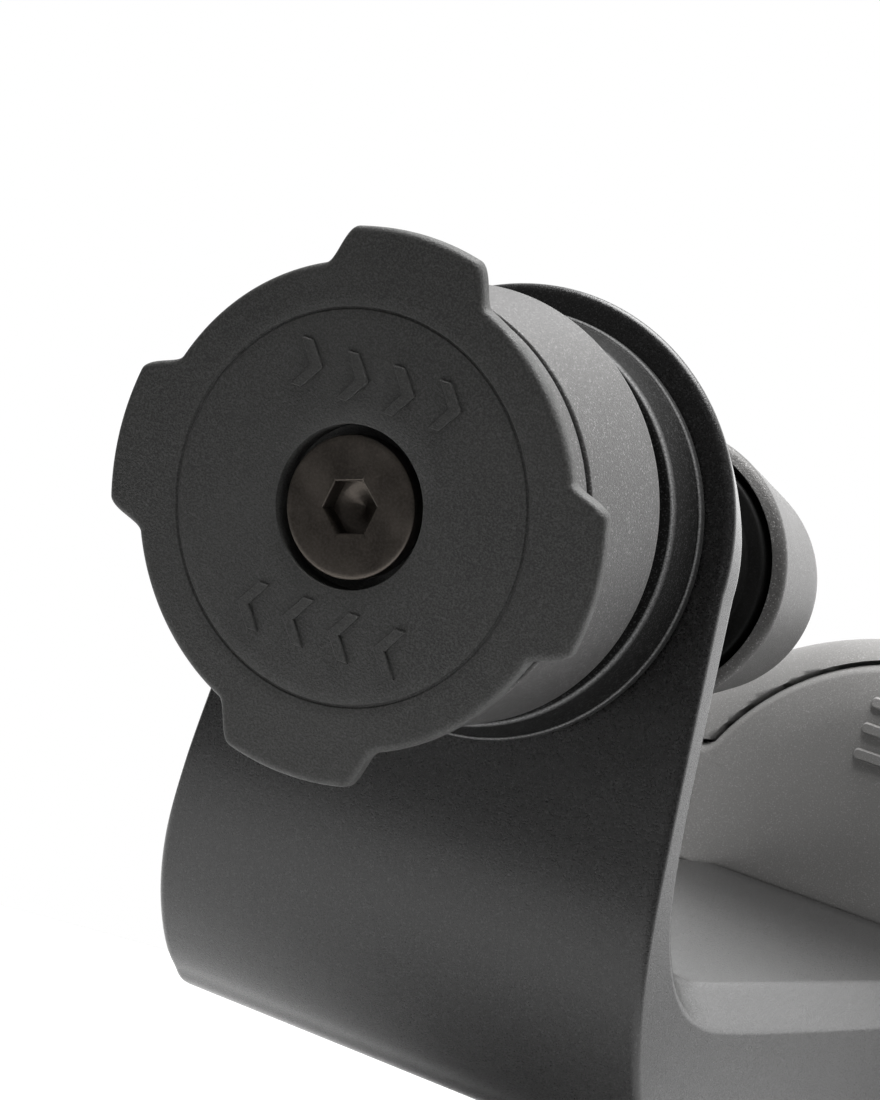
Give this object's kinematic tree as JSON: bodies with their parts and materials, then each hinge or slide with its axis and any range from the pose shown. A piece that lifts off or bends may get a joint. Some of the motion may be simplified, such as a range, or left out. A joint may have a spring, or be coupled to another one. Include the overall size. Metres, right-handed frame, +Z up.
{
  "type": "phone mount",
  "caption": "Phone mount with a lobed twist-lock head on a tilting swivel, a bent arm with a clamp knob, and a round suction base with a flip lever.",
  "frame": {"origin": "Centre of the round suction face", "axes": "+Z is up, +Y points out of the suction face into the glass, and the head faces -Y"},
  "size_m": [0.0656, 0.1542, 0.082],
  "materials": {
    "moulded": "fine moulded grain, near black",
    "coated": "satin black coating with a fine sparkling grain",
    "satin": "grey bead-blasted satin",
    "oxide": "black oxide, slightly warm",
    "steel": "plain zinc-plated steel",
    "brass": "machined brass",
    "rubber": "matt black rubber",
    "gel": "smooth tacky gel"
  },
  "bodies": {
    "base": {"base_housing": "satin", "lever_pin": "steel", "foot_gasket": "rubber", "foot_bolt": "oxide", "arm_bracket": "coated", "swivel_stud": "steel", "stud_sleeve": "satin", "stem_spring": "steel", "suction_cup": "rubber", "gel_pad": "gel"},
    "seat": {"swivel_seat": "coated"},
    "ball": {"swivel_hub": "satin"},
    "head": {"mount_head": "moulded", "head_screw": "oxide", "front_ring": "satin", "collar_spring": "steel", "spring_seat": "steel", "hub_plate": "satin", "head_insert": "brass"},
    "collar": {"lock_collar": "satin"},
    "washers": {"neck_washer": "rubber", "thrust_washer": "steel"},
    "knob": {"clamp_knob": "satin", "knob_insert": "brass", "knob_plug": "moulded"},
    "lever": {"suction_lever": "satin", "lever_cam": "steel"},
    "stem": {"stem": "steel", "pull_plate": "moulded"}
  },
  "joints": [
    {"name": "seat_turn", "type": "hinge", "parent": "base", "child": "seat", "pos_m": [0, -0.132, 0.033], "axis": [0, 1, 0], "continuous": true},
    {"name": "head_tilt", "type": "hinge", "parent": "seat", "child": "ball", "pos_m": [0, -0.1411, 0.033], "axis": [1, 0, 0], "range_deg": [-15.6, 0]},
    {"name": "head_roll", "type": "hinge", "parent": "ball", "child": "head", "pos_m": [0, -0.1411, 0.033], "axis": [0, 0.9907, 0.1357], "continuous": true},
    {"name": "collar_press", "type": "slide", "parent": "head", "child": "collar", "axis": [0, 0.9907, 0.1357], "range_m": [0, 0.0009], "stiffness_N_per_m": 900, "springref_m": -0.002},
    {"name": "washer_travel", "type": "slide", "parent": "base", "child": "washers", "axis": [0, 1, 0], "range_m": [0, 0.001]},
    {"name": "knob_turn", "type": "hinge", "parent": "washers", "child": "knob", "pos_m": [0, -0.1011, 0.033], "axis": [0, 1, 0], "range_deg": [0, 360]},
    {"name": "lever_flip", "type": "hinge", "parent": "base", "child": "lever", "pos_m": [0, -0.0255, 0.0107], "axis": [1, 0, 0], "range_deg": [0, 70]},
    {"name": "stem_pull", "type": "slide", "parent": "base", "child": "stem", "axis": [0, 1, 0], "range_m": [0, 0.0014]}
  ],
  "couplings": [
    {"joint": "washer_travel", "follows": "knob_turn", "m_per_rad": 0.00015915},
    {"joint": "stem_pull", "follows": "lever_flip", "m_per_rad": 0.0010641}
  ]
}
